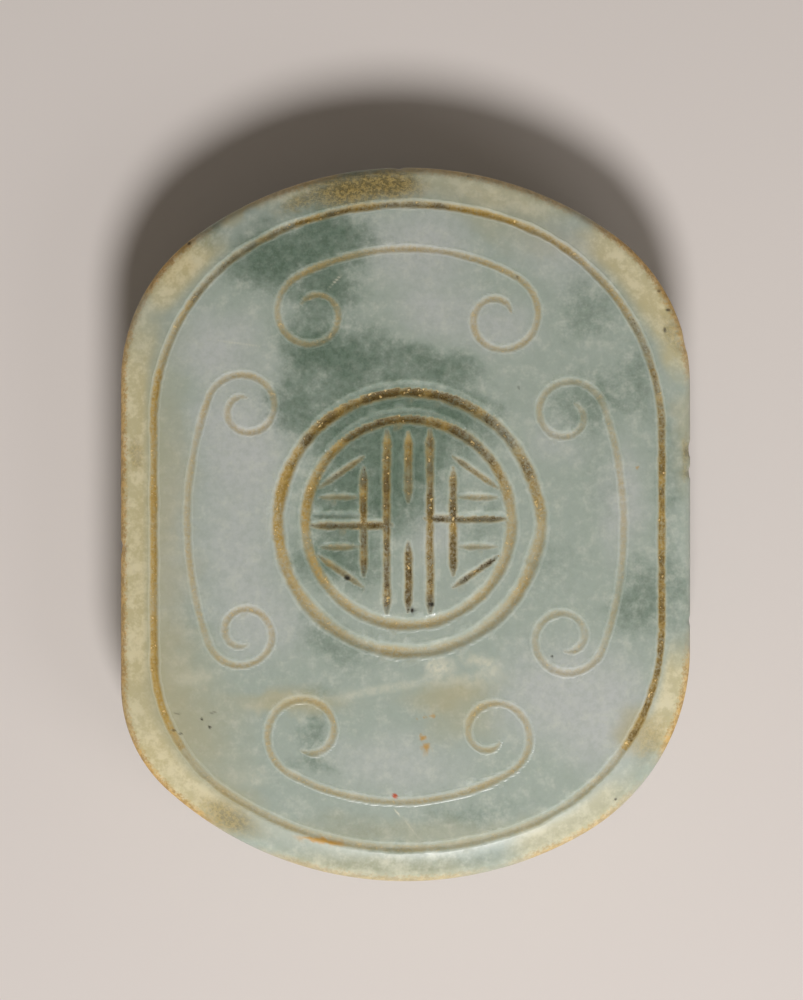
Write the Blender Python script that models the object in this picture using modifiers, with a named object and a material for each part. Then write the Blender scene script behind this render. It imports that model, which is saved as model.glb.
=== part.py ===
"""Jade belt buckle: a carved plaque with a strap button behind it, cut from one stone.

Metres, +Z up. The buckle lies on its button with the carved face up and its length along Y.
"""

from math import atan2, cos, hypot, pi, radians, sin, sqrt

import bmesh
import bpy

# Outline of the plaque: arched ends, flat sides and rounded shoulders
LENGTH = 0.0640
WIDTH = 0.0510
END_RISE = 0.0127  # how far an arched end stands past the corners that the shoulders round off
SHOULDER_RADII = (0.0165, 0.0160, 0.0125, 0.0190)  # no two alike: it was ground by hand
CORNERS = ((1, 1), (-1, 1), (-1, -1), (1, -1))  # upper right, upper left, lower left, lower right
SIDE_STEPS = 2
SHOULDER_STEPS = 8
END_STEPS = 9

# Thickness and edges of the plaque
THICKNESS = 0.0058  # at the middle
CROWN_RADIUS = 0.400  # the face is slightly domed
BAND_FALL = 0.0006  # the band outside the border line slopes down by this much
FACE_ROUND = 0.0010
BACK_ROUND = 0.0008
ROUND_STEPS = 3
CROWN_SHARES = (0.72, 0.40)  # rings of the domed field, as shares of the border line

# Button that the strap buttons over
BUTTON_DIAMETER = 0.0210
BUTTON_THICKNESS = 0.0027
BUTTON_ROUND = 0.0011
NECK_DIAMETER = 0.0085
NECK_FILLET = 0.0010
NECK_BURY = 0.0012  # how far the neck runs into the plaque, so that the two become one
STRAP_GAP = 0.0048
TURN_STEPS = 48

# Border line
BORDER_SIDE_INSET = 0.0028
BORDER_END_INSET = 0.0032
BORDER_SHOULDER_RADII = (0.0200, 0.0183, 0.0148, 0.0190)
BORDER_SHIFT = (0.0002, -0.0001)
BORDER_WIDTH = 0.00080
BORDER_DEPTH = 0.00034

# Roundel in the middle of the face
OUTER_RING_RADIUS = 0.01165
OUTER_RING_WIDTH = 0.00105
OUTER_RING_DEPTH = 0.00048
INNER_RING_RADIUS = 0.0092
INNER_RING_WIDTH = 0.00090
INNER_RING_DEPTH = 0.00042
RING_STEPS = 56
ROUNDEL_SHIFT = (0.00025, 0.0003)  # the roundel was cut slightly off the middle of the plaque

# Strokes of the lattice in the roundel, as shares of the inner ring's radius from its centre
UPRIGHT_X = 0.210
UPRIGHT_REACH = 0.88
MIDDLE_ROOT = 0.20
MIDDLE_REACH = 0.87
POST_X = 0.434
POST_REACH = 0.52
BEAM_ROOT = 0.16
BEAM_REACH = 0.955
SLAT_Y = 0.240
SLAT_ROOT = 0.49
SLAT_REACH = 0.86
BRACE_TOP = (0.435, 0.635)
BRACE_FOOT = (0.870, 0.330)
STROKE_WIDTH = 0.00078
STROKE_DEPTH = 0.00038
FINE_STROKE_WIDTH = 0.00060
FINE_STROKE_DEPTH = 0.00024
STROKE_STEPS = 5

# Scrolls around the roundel: a long bowed spine that curls inwards at both ends
SCROLL_WIDTH = 0.00066
SCROLL_DEPTH = 0.00026
SPINE_STEPS = 3
CURL_STEP = radians(18)
END_SCROLL_GAP = 0.0041  # from the border line to the middle of the spine
SIDE_SCROLL_GAP = 0.0032
END_SPINE_RADIUS = 0.0204
END_SPINE_TURN = radians(28.6)
SIDE_SPINE_RADIUS = 0.0330
SIDE_SPINE_TURN = radians(19.1)

# Each curl as its radius where it leaves the spine, its radius at its eye, and its whole turn
TOP_LEFT_CURL = (0.00359, 0.00135, radians(424))
TOP_RIGHT_CURL = (0.00393, 0.00108, radians(445))
FOOT_LEFT_CURL = (0.00397, 0.00164, radians(389))
FOOT_RIGHT_CURL = (0.00384, 0.00097, radians(429))
LEFT_UPPER_CURL = (0.00347, 0.00098, radians(474))
LEFT_LOWER_CURL = (0.00330, 0.00111, radians(482))
RIGHT_UPPER_CURL = (0.00335, 0.00115, radians(427))
RIGHT_LOWER_CURL = (0.00353, 0.00116, radians(467))

# How far each scroll was cut to one side of its axis
TOP_SLIP = 0.0001
FOOT_SLIP = -0.0006
LEFT_SLIP = 0.0004
RIGHT_SLIP = -0.0001

# Fade of an open groove towards its ends, where the wheel lifts out
FADE_LENGTH = 0.0014
FADED_SIZE = 0.35

# Cutters
TUBE_RESOLUTION = 2
WELD_DISTANCE = 0.000001
SHARP_ANGLE = radians(35)

JADE_COLOUR = (0.42, 0.48, 0.42, 1.0)
JADE_ROUGHNESS = 0.32

PLAQUE_BACK = BUTTON_THICKNESS + STRAP_GAP
FACE_TOP = PLAQUE_BACK + THICKNESS


def end_radius():
    """Radius of the arch that spans the width and rises END_RISE."""
    half_span = WIDTH / 2
    return (half_span**2 + END_RISE**2) / (2 * END_RISE)


def arc(centre, radius, start, end, steps):
    """Points on an arc, without the one at its end."""
    turns = [start + (end - start) * k / steps for k in range(steps)]
    return [(centre[0] + radius * cos(a), centre[1] + radius * sin(a)) for a in turns]


def quarter(half_width, arch, shoulder):
    """The upper right quarter of an outline, from the middle of the side up to the middle of the end."""
    arch_y = LENGTH / 2 - end_radius()
    shoulder_x = half_width - shoulder
    shoulder_y = arch_y + sqrt((arch - shoulder) ** 2 - shoulder_x**2)
    meeting = atan2(shoulder_y - arch_y, shoulder_x)
    points = [(half_width, shoulder_y * k / SIDE_STEPS) for k in range(SIDE_STEPS)]
    points += arc((shoulder_x, shoulder_y), shoulder, 0.0, meeting, SHOULDER_STEPS)
    points += arc((0.0, arch_y), arch, meeting, pi / 2, END_STEPS)
    return points + [(0.0, arch_y + arch)]


def outline(side_inset, end_inset, shoulders):
    """The plaque's outline moved inwards, anticlockwise from the middle of the +X side."""
    points = []
    for number, ((side, end), shoulder) in enumerate(zip(CORNERS, shoulders)):
        corner = quarter(WIDTH / 2 - side_inset, end_radius() - end_inset, shoulder)
        if number % 2:
            corner.reverse()
        points += [(side * x, end * y) for x, y in corner[:-1]]
    return points


def inner_outline(inset):
    """The plaque's outline moved inwards by the same amount all round."""
    return outline(inset, inset, [radius - inset for radius in SHOULDER_RADII])


def border_line():
    """The line that runs all round the face, inside its sloping band."""
    dx, dy = BORDER_SHIFT
    line = outline(BORDER_SIDE_INSET, BORDER_END_INSET, BORDER_SHOULDER_RADII)
    return [(x + dx, y + dy) for x, y in line]


def crown(x, y):
    """Height of the domed field at a point of the face."""
    return FACE_TOP - (x * x + y * y) / (2 * CROWN_RADIUS)


def edge_sections():
    """Rings up the side of the plaque, from its flat back to the sloping band."""
    rounding = [pi / 2 * k / ROUND_STEPS for k in range(ROUND_STEPS + 1)]
    rings = []
    for a in rounding:
        height = PLAQUE_BACK + BACK_ROUND * (1 - cos(a))
        rings.append([(x, y, height) for x, y in inner_outline(BACK_ROUND * (1 - sin(a)))])
    band_edge = inner_outline(FACE_ROUND)
    for a in rounding:
        below = BAND_FALL + FACE_ROUND * (1 - sin(a))
        ring = inner_outline(FACE_ROUND * (1 - cos(a)))
        rings.append([(x, y, crown(*edge) - below) for (x, y), edge in zip(ring, band_edge)])
    return rings


def field_sections():
    """Rings of the domed field, from the border line inwards."""
    rings = []
    for share in (1.0,) + CROWN_SHARES:
        scaled = [(x * share, y * share) for x, y in border_line()]
        rings.append([(x, y, crown(x, y)) for x, y in scaled])
    return rings


def smooth(mesh):
    """Shades the curved faces smooth and leaves the crisp edges."""
    mesh.shade_smooth()
    mesh.set_sharp_from_angle(angle=SHARP_ANGLE)
    return mesh


def loft(name, sections, peak):
    """A closed mesh through rings of points: a flat cap on the first, a fan to the peak on the last."""
    mesh = bpy.data.meshes.new(name)
    bm = bmesh.new()
    rings = [[bm.verts.new(point) for point in section] for section in sections]
    for lower, upper in zip(rings, rings[1:]):
        for k in range(len(lower)):
            bm.faces.new((lower[k - 1], lower[k], upper[k], upper[k - 1]))
    bm.faces.new(reversed(rings[0]))
    tip = bm.verts.new(peak)
    for k in range(len(rings[-1])):
        bm.faces.new((rings[-1][k - 1], rings[-1][k], tip))
    bm.normal_update()
    bm.to_mesh(mesh)
    bm.free()
    return smooth(mesh)


def add_object(name, data, collection):
    made = bpy.data.objects.new(name, data)
    collection.objects.link(made)
    return made


def add_collection(name):
    made = bpy.data.collections.new(name)
    bpy.context.scene.collection.children.link(made)
    return made


def as_helper(helper):
    """Keeps a tool of a Boolean out of the finished object."""
    helper.hide_render = True
    helper.display_type = "WIRE"
    return helper


def jade():
    material = bpy.data.materials.new("jade")
    material.use_nodes = True
    shader = material.node_tree.nodes["Principled BSDF"]
    shader.inputs["Base Color"].default_value = JADE_COLOUR
    shader.inputs["Roughness"].default_value = JADE_ROUGHNESS
    shader.inputs["Metallic"].default_value = 0.0
    return material


def plaque(collection):
    """The blank stone before carving."""
    peak = (0.0, 0.0, crown(0.0, 0.0))
    mesh = loft("jade_buckle", edge_sections() + field_sections(), peak)
    mesh.materials.append(jade())
    return add_object("jade_buckle", mesh, collection)


def button_profile():
    """Half outline of the button and its neck, from the axis inside the plaque down to the foot."""
    neck = NECK_DIAMETER / 2
    rim = BUTTON_DIAMETER / 2 - BUTTON_ROUND
    quarter_turn = [pi / 2 * k / ROUND_STEPS for k in range(ROUND_STEPS + 1)]
    profile = [(0.0, PLAQUE_BACK + NECK_BURY), (neck + NECK_FILLET, PLAQUE_BACK + NECK_BURY)]
    for a in quarter_turn:
        profile.append((neck + NECK_FILLET * (1 - sin(a)), PLAQUE_BACK - NECK_FILLET * (1 - cos(a))))
    for a in reversed(quarter_turn):
        profile.append((neck + NECK_FILLET * (1 - sin(a)), BUTTON_THICKNESS + NECK_FILLET * (1 - cos(a))))
    for a in quarter_turn:
        profile.append((rim + BUTTON_ROUND * sin(a), BUTTON_THICKNESS - BUTTON_ROUND * (1 - cos(a))))
    for a in reversed(quarter_turn):
        profile.append((rim + BUTTON_ROUND * sin(a), BUTTON_ROUND * (1 - cos(a))))
    return profile + [(0.0, 0.0)]


def button(collection):
    """The turned button on its neck."""
    points = [(r, 0.0, z) for r, z in button_profile()]
    mesh = bpy.data.meshes.new("button")
    mesh.from_pydata(points, [(k, k + 1) for k in range(len(points) - 1)], [])
    made = as_helper(add_object("button", mesh, collection))
    turn = made.modifiers.new("turn", "SCREW")
    turn.steps = TURN_STEPS
    turn.render_steps = TURN_STEPS
    turn.use_merge_vertices = True
    turn.merge_threshold = WELD_DISTANCE
    turn.use_smooth_shade = True
    return made


def wheel_groove(name, path, width, depth, closed, collection):
    """A tube that follows the face along a path of (x, y) points and cuts a groove of this size."""
    radius = (width**2 / 4 + depth**2) / (2 * depth)
    lift = radius - depth
    along = [0.0]
    for (x0, y0), (x1, y1) in zip(path, path[1:]):
        along.append(along[-1] + hypot(x1 - x0, y1 - y0))
    curve = bpy.data.curves.new(name, "CURVE")
    curve.dimensions = "3D"
    curve.twist_mode = "Z_UP"
    curve.bevel_depth = radius
    curve.bevel_resolution = TUBE_RESOLUTION
    curve.use_fill_caps = not closed
    spline = curve.splines.new("POLY")
    spline.points.add(len(path) - 1)
    spline.use_cyclic_u = closed
    for point, (x, y), run in zip(spline.points, path, along):
        to_end = min(run, along[-1] - run) / FADE_LENGTH
        size = 1.0 if closed else FADED_SIZE + (1 - FADED_SIZE) * min(1.0, to_end)
        point.co = (x, y, crown(x, y) + lift * size, 1.0)
        point.radius = size
    return mesh_of(add_object(name, curve, collection), collection)


def mesh_of(drawn, collection):
    """The same shape as a welded mesh, which a Boolean can take."""
    evaluated = drawn.evaluated_get(bpy.context.evaluated_depsgraph_get())
    mesh = bpy.data.meshes.new_from_object(evaluated)
    bm = bmesh.new()
    bm.from_mesh(mesh)
    bmesh.ops.remove_doubles(bm, verts=bm.verts, dist=WELD_DISTANCE)
    bmesh.ops.recalc_face_normals(bm, faces=bm.faces)
    bm.to_mesh(mesh)
    bm.free()
    name = drawn.name
    place = drawn.matrix_world.copy()
    bpy.data.objects.remove(drawn)
    made = as_helper(add_object(name, smooth(mesh), collection))
    made.matrix_world = place
    return made


def ring(radius):
    cx, cy = ROUNDEL_SHIFT
    turns = [2 * pi * k / RING_STEPS for k in range(RING_STEPS)]
    return [(cx + radius * cos(a), cy + radius * sin(a)) for a in turns]


def stroke(start, end):
    """Points of a straight stroke, given as shares of the inner ring, with more of them at the faded ends."""
    path = []
    for k in range(STROKE_STEPS + 1):
        share = (1 - cos(pi * k / STROKE_STEPS)) / 2
        x = (start[0] + (end[0] - start[0]) * share) * INNER_RING_RADIUS
        y = (start[1] + (end[1] - start[1]) * share) * INNER_RING_RADIUS
        path.append((ROUNDEL_SHIFT[0] + x, ROUNDEL_SHIFT[1] + y))
    return path


def lattice():
    """The strokes in the roundel, the same from side to side and from top to foot: main ones, fine ones."""
    main_strokes = []
    fine_strokes = []
    for side in (-1, 1):
        upright = side * UPRIGHT_X
        post = side * POST_X
        main_strokes.append(stroke((upright, -UPRIGHT_REACH), (upright, UPRIGHT_REACH)))
        main_strokes.append(stroke((post, -POST_REACH), (post, POST_REACH)))
        main_strokes.append(stroke((side * BEAM_ROOT, 0.0), (side * BEAM_REACH, 0.0)))
        main_strokes.append(stroke((0.0, side * MIDDLE_ROOT), (0.0, side * MIDDLE_REACH)))
        for end in (-1, 1):
            slat_y = end * SLAT_Y
            top = (side * BRACE_TOP[0], end * BRACE_TOP[1])
            foot = (side * BRACE_FOOT[0], end * BRACE_FOOT[1])
            fine_strokes.append(stroke((side * SLAT_ROOT, slat_y), (side * SLAT_REACH, slat_y)))
            fine_strokes.append(stroke(top, foot))
    return main_strokes, fine_strokes


def half_scroll(middle, heading, turn_sign, spine_radius, spine_turn, curl):
    """Points from the middle of a scroll's spine to the eye of the curl at one end."""
    curl_radius, eye_radius, whole_turn = curl
    curl_steps = round((whole_turn - spine_turn) / CURL_STEP)
    curl_bend = (whole_turn - spine_turn) / curl_steps
    bends = [(spine_radius, spine_turn / SPINE_STEPS)] * SPINE_STEPS
    for k in range(curl_steps):
        share = (k + 0.5) / curl_steps
        bends.append((curl_radius + (eye_radius - curl_radius) * share, curl_bend))
    path = [middle]
    for radius, bend in bends:
        chord = 2 * radius * sin(bend / 2)
        heading += turn_sign * bend / 2
        x, y = path[-1]
        path.append((x + chord * cos(heading), y + chord * sin(heading)))
        heading += turn_sign * bend / 2
    return path


def scroll(middle, heading, spine, curl_behind, curl_ahead):
    """A whole scroll that bows away from the roundel: one half runs along the heading, the other back."""
    ahead = half_scroll(middle, heading, 1, *spine, curl_ahead)
    behind = half_scroll(middle, heading + pi, -1, *spine, curl_behind)
    return behind[:0:-1] + ahead


def scrolls():
    """The four scrolls, each headed anticlockwise around the roundel."""
    side_x = WIDTH / 2 - BORDER_SIDE_INSET - SIDE_SCROLL_GAP
    end_y = LENGTH / 2 - BORDER_END_INSET - END_SCROLL_GAP
    end_spine = (END_SPINE_RADIUS, END_SPINE_TURN)
    side_spine = (SIDE_SPINE_RADIUS, SIDE_SPINE_TURN)
    return {
        "right": scroll((side_x, RIGHT_SLIP), pi / 2, side_spine, RIGHT_LOWER_CURL, RIGHT_UPPER_CURL),
        "top": scroll((TOP_SLIP, end_y), pi, end_spine, TOP_RIGHT_CURL, TOP_LEFT_CURL),
        "left": scroll((-side_x, LEFT_SLIP), -pi / 2, side_spine, LEFT_UPPER_CURL, LEFT_LOWER_CURL),
        "foot": scroll((FOOT_SLIP, -end_y), 0.0, end_spine, FOOT_LEFT_CURL, FOOT_RIGHT_CURL),
    }


def carving(collection):
    """Every groove of the face, as a tool that a Boolean takes out of the stone."""
    closed_lines = [
        ("border", border_line(), BORDER_WIDTH, BORDER_DEPTH),
        ("outer_ring", ring(OUTER_RING_RADIUS), OUTER_RING_WIDTH, OUTER_RING_DEPTH),
        ("inner_ring", ring(INNER_RING_RADIUS), INNER_RING_WIDTH, INNER_RING_DEPTH),
    ]
    main_strokes, fine_strokes = lattice()
    open_lines = []
    for number, path in enumerate(main_strokes):
        open_lines.append((f"stroke_{number}", path, STROKE_WIDTH, STROKE_DEPTH))
    for number, path in enumerate(fine_strokes):
        open_lines.append((f"fine_stroke_{number}", path, FINE_STROKE_WIDTH, FINE_STROKE_DEPTH))
    for side, path in scrolls().items():
        open_lines.append((f"scroll_{side}", path, SCROLL_WIDTH, SCROLL_DEPTH))
    tools = [wheel_groove(*line, True, collection) for line in closed_lines]
    return tools + [wheel_groove(*line, False, collection) for line in open_lines]


def add_boolean(target, tool, operation):
    modifier = target.modifiers.new(tool.name, "BOOLEAN")
    modifier.operation = operation
    modifier.object = tool
    modifier.solver = "EXACT"


def main():
    for old in list(bpy.data.objects):
        bpy.data.objects.remove(old)
    parts = add_collection("jade_belt_buckle")
    tools = add_collection("cutters")
    stone = plaque(parts)
    add_boolean(stone, button(tools), "UNION")
    for tool in carving(tools):
        add_boolean(stone, tool, "DIFFERENCE")


main()
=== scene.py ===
from math import atan2, cos, hypot, pi, radians, sin, sqrt

import bmesh
import bpy
import numpy as np
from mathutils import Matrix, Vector, kdtree, noise


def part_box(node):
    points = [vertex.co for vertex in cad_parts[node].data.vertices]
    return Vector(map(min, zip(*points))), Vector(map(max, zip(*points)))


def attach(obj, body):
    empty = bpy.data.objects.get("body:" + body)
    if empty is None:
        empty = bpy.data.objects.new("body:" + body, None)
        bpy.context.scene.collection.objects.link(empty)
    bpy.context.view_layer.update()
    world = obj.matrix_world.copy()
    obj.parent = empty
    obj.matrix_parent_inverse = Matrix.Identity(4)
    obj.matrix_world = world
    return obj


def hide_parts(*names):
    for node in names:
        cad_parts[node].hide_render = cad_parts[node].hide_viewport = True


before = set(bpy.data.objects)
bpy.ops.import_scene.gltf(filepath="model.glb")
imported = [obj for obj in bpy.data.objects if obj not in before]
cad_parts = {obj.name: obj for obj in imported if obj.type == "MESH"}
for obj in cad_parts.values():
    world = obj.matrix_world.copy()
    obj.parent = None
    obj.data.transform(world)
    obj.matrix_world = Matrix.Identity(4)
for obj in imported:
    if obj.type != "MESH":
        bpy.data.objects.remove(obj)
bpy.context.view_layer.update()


# The blank
# The plaque is ground from one piece of pale jade, flat behind and slightly domed in front.
# Its ends are arched, its sides flat, its four shoulders no two alike, and every edge is rubbed round.

low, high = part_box("jade_buckle")
WIDTH = high.x - low.x
LENGTH = high.y - low.y
FACE_TOP = high.z
END_RISE = 0.0127  # how far an end would arch out across the full width, were its shoulders not cut
SHOULDER_RADII = (0.0165, 0.0160, 0.0125, 0.0190)  # upper right, upper left, lower left, lower right
CORNERS = ((1, 1), (-1, 1), (-1, -1), (1, -1))
ARC_STEPS = 40
BUTTON_THICKNESS = 0.0027
STRAP_GAP = 0.0048
PLAQUE_BACK = BUTTON_THICKNESS + STRAP_GAP
CROWN_RADIUS = 0.400
FACE_ROUND = 0.0010
BACK_ROUND = 0.0008
ROUND_SEGMENTS = 6
BACK_INSETS = (0.0010, 0.0020)  # rings on the flat back
RIM_POINTS = 432
POINTS_UP_THE_SIDE = 120  # grid steps along each flat side; the rest of the rim is the two ends
HAIR = 0.00001  # slack when edges and faces are picked by their place


def arc(centre, radius, start, end, steps=ARC_STEPS):
    """Points on an arc, without the one at its end."""
    turns = [start + (end - start) * k / steps for k in range(steps)]
    return [(centre[0] + radius * cos(a), centre[1] + radius * sin(a)) for a in turns]


def quarter(half_width, arch, shoulder):
    """The upper right quarter of an outline, from the middle of the side up to the middle of the end."""
    arch_y = LENGTH / 2 - END_RADIUS
    shoulder_x = half_width - shoulder
    shoulder_y = arch_y + sqrt((arch - shoulder) ** 2 - shoulder_x**2)
    meeting = atan2(shoulder_y - arch_y, shoulder_x)
    points = [(half_width, shoulder_y * k / ARC_STEPS) for k in range(ARC_STEPS)]
    points += arc((shoulder_x, shoulder_y), shoulder, 0.0, meeting)
    return points + arc((0.0, arch_y), arch, meeting, pi / 2) + [(0.0, arch_y + arch)]


def outline(side_inset, end_inset, shoulders):
    """The plaque's outline moved inwards, anticlockwise from the middle of the right side."""
    points = []
    for number, ((side, end), shoulder) in enumerate(zip(CORNERS, shoulders)):
        corner = quarter(WIDTH / 2 - side_inset, END_RADIUS - end_inset, shoulder)
        if number % 2:
            corner.reverse()
        points += [(side * x, end * y) for x, y in corner[:-1]]
    return points


def evenly(points, spacing=None, count=None):
    """The same line with its points evenly spaced: about this far apart, or this many on a closed one."""
    line = np.array(points + points[:1] if count else points)
    run = np.concatenate([[0.0], np.cumsum(np.hypot(*np.diff(line, axis=0).T))])
    if count:
        marks = np.arange(count) * run[-1] / count
    else:
        marks = np.linspace(0.0, run[-1], round(run[-1] / spacing) + 1)
    return np.column_stack([np.interp(marks, run, line[:, 0]), np.interp(marks, run, line[:, 1])])


def reach(line, turns):
    """How far a closed line lies from the centre in each of these directions."""
    angles = np.arctan2(line[:, 1], line[:, 0])
    return np.interp(turns, angles, np.hypot(line[:, 0], line[:, 1]), period=2 * pi)


def pick(kind, wanted):
    """Selects the vertices, edges or faces of the edited mesh that wanted() tells, and nothing else."""
    bpy.ops.mesh.select_mode(type=kind)
    bpy.ops.mesh.select_all(action="DESELECT")
    mesh = bpy.context.object.data
    shape = bmesh.from_edit_mesh(mesh)
    for part in {"VERT": shape.verts, "EDGE": shape.edges, "FACE": shape.faces}[kind]:
        if wanted(part):
            part.select_set(True)
    bmesh.update_edit_mesh(mesh)


def level(part, height):
    """True for an edge or face that lies flat at this height."""
    return all(abs(vertex.co.z - height) < HAIR for vertex in part.verts)


END_RADIUS = ((WIDTH / 2) ** 2 + END_RISE**2) / (2 * END_RISE)
rim_line = evenly(outline(0.0, 0.0, SHOULDER_RADII), count=RIM_POINTS)

bpy.ops.object.select_all(action="DESELECT")
bpy.ops.mesh.primitive_circle_add(vertices=RIM_POINTS, radius=WIDTH / 2, fill_type="NGON")
buckle = bpy.context.object
buckle.name = "carved_stone"
for vertex, (x, y) in zip(buckle.data.vertices, rim_line):
    vertex.co = (x, y, PLAQUE_BACK)

bpy.ops.object.mode_set(mode="EDIT")
bpy.ops.mesh.select_all(action="SELECT")
bpy.ops.mesh.extrude_region_move(TRANSFORM_OT_translate={"value": (0.0, 0.0, FACE_TOP - PLAQUE_BACK)})
bpy.ops.mesh.select_all(action="SELECT")
bpy.ops.mesh.normals_make_consistent(inside=False)
pick("EDGE", lambda edge: level(edge, FACE_TOP))
bpy.ops.mesh.bevel(offset=FACE_ROUND, segments=ROUND_SEGMENTS, profile=0.5)
pick("EDGE", lambda edge: level(edge, PLAQUE_BACK))
bpy.ops.mesh.bevel(offset=BACK_ROUND, segments=ROUND_SEGMENTS, profile=0.5)
pick("FACE", lambda face: level(face, PLAQUE_BACK) and len(face.verts) == RIM_POINTS)
for inset in BACK_INSETS:
    bpy.ops.mesh.inset(thickness=inset)
bpy.ops.object.mode_set(mode="OBJECT")


# The strap button
# Behind the plaque, and cut from the same stone, a round button stands off on a short neck.
# A strap's slit buttons over it, so its rims are rubbed round and its neck runs out in fillets.

BUTTON_DIAMETER = 0.0210
BUTTON_ROUND = 0.0011
NECK_DIAMETER = 0.0085
NECK_FILLET = 0.0010
NECK_BURY = 0.0012
FLARE_SINK = 0.00002  # the neck's flare starts just inside the plaque, so that no two faces coincide
TURN_STEPS = 96

bpy.ops.mesh.primitive_cylinder_add(
    vertices=TURN_STEPS,
    radius=BUTTON_DIAMETER / 2,
    depth=BUTTON_THICKNESS,
    location=(0.0, 0.0, BUTTON_THICKNESS / 2),
)
button = bpy.context.object
bpy.ops.object.transform_apply(location=True, rotation=True, scale=True)
bpy.ops.object.mode_set(mode="EDIT")
pick("EDGE", lambda edge: level(edge, 0.0) or level(edge, BUTTON_THICKNESS))
bpy.ops.mesh.bevel(offset=BUTTON_ROUND, segments=ROUND_SEGMENTS, profile=0.5)
pick("FACE", lambda face: level(face, BUTTON_THICKNESS))
bpy.ops.mesh.inset(thickness=BUTTON_DIAMETER / 2 - BUTTON_ROUND - NECK_DIAMETER / 2)
bpy.ops.mesh.extrude_region_move(TRANSFORM_OT_translate={"value": (0.0, 0.0, STRAP_GAP + FLARE_SINK)})
# At the plaque the neck turns out flat, so that its corner can be rubbed into a fillet
bpy.ops.mesh.extrude_region_move()
flare = (NECK_DIAMETER / 2 + 2 * NECK_FILLET) / (NECK_DIAMETER / 2)
bpy.ops.transform.resize(value=(flare, flare, 1.0), center_override=(0.0, 0.0, PLAQUE_BACK))
bpy.ops.mesh.extrude_region_move(TRANSFORM_OT_translate={"value": (0.0, 0.0, NECK_BURY)})


def at_neck(edge):
    """True for the edges round the neck where it meets the button and where it meets the plaque."""
    reaches = [hypot(vertex.co.x, vertex.co.y) for vertex in edge.verts]
    flat = level(edge, BUTTON_THICKNESS) or level(edge, PLAQUE_BACK + FLARE_SINK)
    return flat and max(reaches) < NECK_DIAMETER / 2 + HAIR


pick("EDGE", at_neck)
bpy.ops.mesh.bevel(offset=NECK_FILLET, segments=ROUND_SEGMENTS, profile=0.5)
bpy.ops.mesh.select_all(action="SELECT")
bpy.ops.mesh.normals_make_consistent(inside=False)
bpy.ops.object.mode_set(mode="OBJECT")

bpy.ops.object.select_all(action="DESELECT")
bpy.context.view_layer.objects.active = buckle
buckle.select_set(True)
bpy.ops.object.modifier_add(type="BOOLEAN")
join = buckle.modifiers[-1]
join.operation = "UNION"
join.solver = "EXACT"
join.object = button
bpy.ops.object.modifier_apply(modifier=join.name)
bpy.data.objects.remove(button)


# The domed face
# The field is rubbed to a slight dome, and outside the border line a band slopes down to the rim.
# Here the flat top gets a grid of faces, which is then let down to the dome and the slope.

BORDER_SIDE_INSET = 0.0028
BORDER_END_INSET = 0.0032
BORDER_SHOULDER_RADII = (0.0200, 0.0183, 0.0148, 0.0190)
BORDER_SHIFT = (0.0002, -0.0001)
BAND_FALL = 0.0004
WAVER = 0.00005  # the hand-rubbed field dips by up to this much
WAVER_LENGTH = 0.0035

border_line = np.array(outline(BORDER_SIDE_INSET, BORDER_END_INSET, BORDER_SHOULDER_RADII)) + BORDER_SHIFT
band_edge = np.array(outline(FACE_ROUND, FACE_ROUND, [radius - FACE_ROUND for radius in SHOULDER_RADII]))
grid_corner = rim_line[POINTS_UP_THE_SIDE // 2]


def near_grid_corner(vertex):
    return hypot(vertex.co.x - grid_corner[0], vertex.co.y - grid_corner[1])


bpy.ops.object.mode_set(mode="EDIT")
pick("FACE", lambda face: level(face, FACE_TOP))
bpy.ops.mesh.delete(type="ONLY_FACE")
pick("EDGE", lambda edge: edge.is_boundary)
shape = bmesh.from_edit_mesh(buckle.data)
shape.select_history.clear()
shape.select_history.add(min((v for v in shape.verts if v.select), key=near_grid_corner))
bpy.ops.mesh.fill_grid(span=RIM_POINTS // 2 - POINTS_UP_THE_SIDE)
bpy.ops.object.mode_set(mode="OBJECT")


def places(piece):
    """Every vertex of a piece as a row of x, y and z."""
    flat = np.empty(len(piece.data.vertices) * 3)
    piece.data.vertices.foreach_get("co", flat)
    return flat.reshape(-1, 3)


def share_between(spots, inner_line, outer_line):
    """0 inside the inner line, rising to 1 at the outer one, for each vertex."""
    turns = np.arctan2(spots[:, 1], spots[:, 0])
    inner = reach(inner_line, turns)
    outer = reach(outer_line, turns)
    return np.clip((np.hypot(spots[:, 0], spots[:, 1]) - inner) / (outer - inner), 0.0, 1.0)


def unsteady(x, y, length, number=0):
    """A smooth value from -1 to 1 that changes over about this length, different for each number."""
    return noise.noise(Vector((x / length, y / length, number * 7.31)))


spots = places(buckle)
upper = spots[:, 2] > (PLAQUE_BACK + FACE_TOP) / 2
dome = (spots[:, 0] ** 2 + spots[:, 1] ** 2) / (2 * CROWN_RADIUS)
fall = BAND_FALL * share_between(spots, border_line, band_edge)
dips = WAVER * np.array([1 + unsteady(x, y, WAVER_LENGTH) for x, y, _ in spots]) / 2
spots[:, 2] -= np.where(upper, dome + fall + dips, 0.0)
buckle.data.vertices.foreach_set("co", spots.ravel())
buckle.data.update()


# The border line
# One line is cut with a wheel all round the face, a little inside the rim.
# A groove is kept as points along it, each with its half width, its depth, how stained it is and how dark.

POINT_SPACING = 0.00006
SWAY = 0.00005  # how far a line strays from its true course
SWAY_LENGTH = 0.0030
JITTER = 0.00002
JITTER_LENGTH = 0.0005
SWELL = 0.18  # the share by which a groove grows and shrinks along its course
SWELL_LENGTH = 0.0022
CHATTER = 0.10
CHATTER_LENGTH = 0.0006
STAIN_CHANGE = 0.5  # the share by which its dirt comes and goes
STAIN_LENGTH = 0.0030
DARK_CHANGE = 0.8
DARK_LENGTH = 0.0012
FADED_SIZE = 0.45  # the share of a groove's size that is left where the wheel lifts out
BORDER_WIDTH = 0.00074
BORDER_DEPTH = 0.00022

groove_points = []


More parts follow.
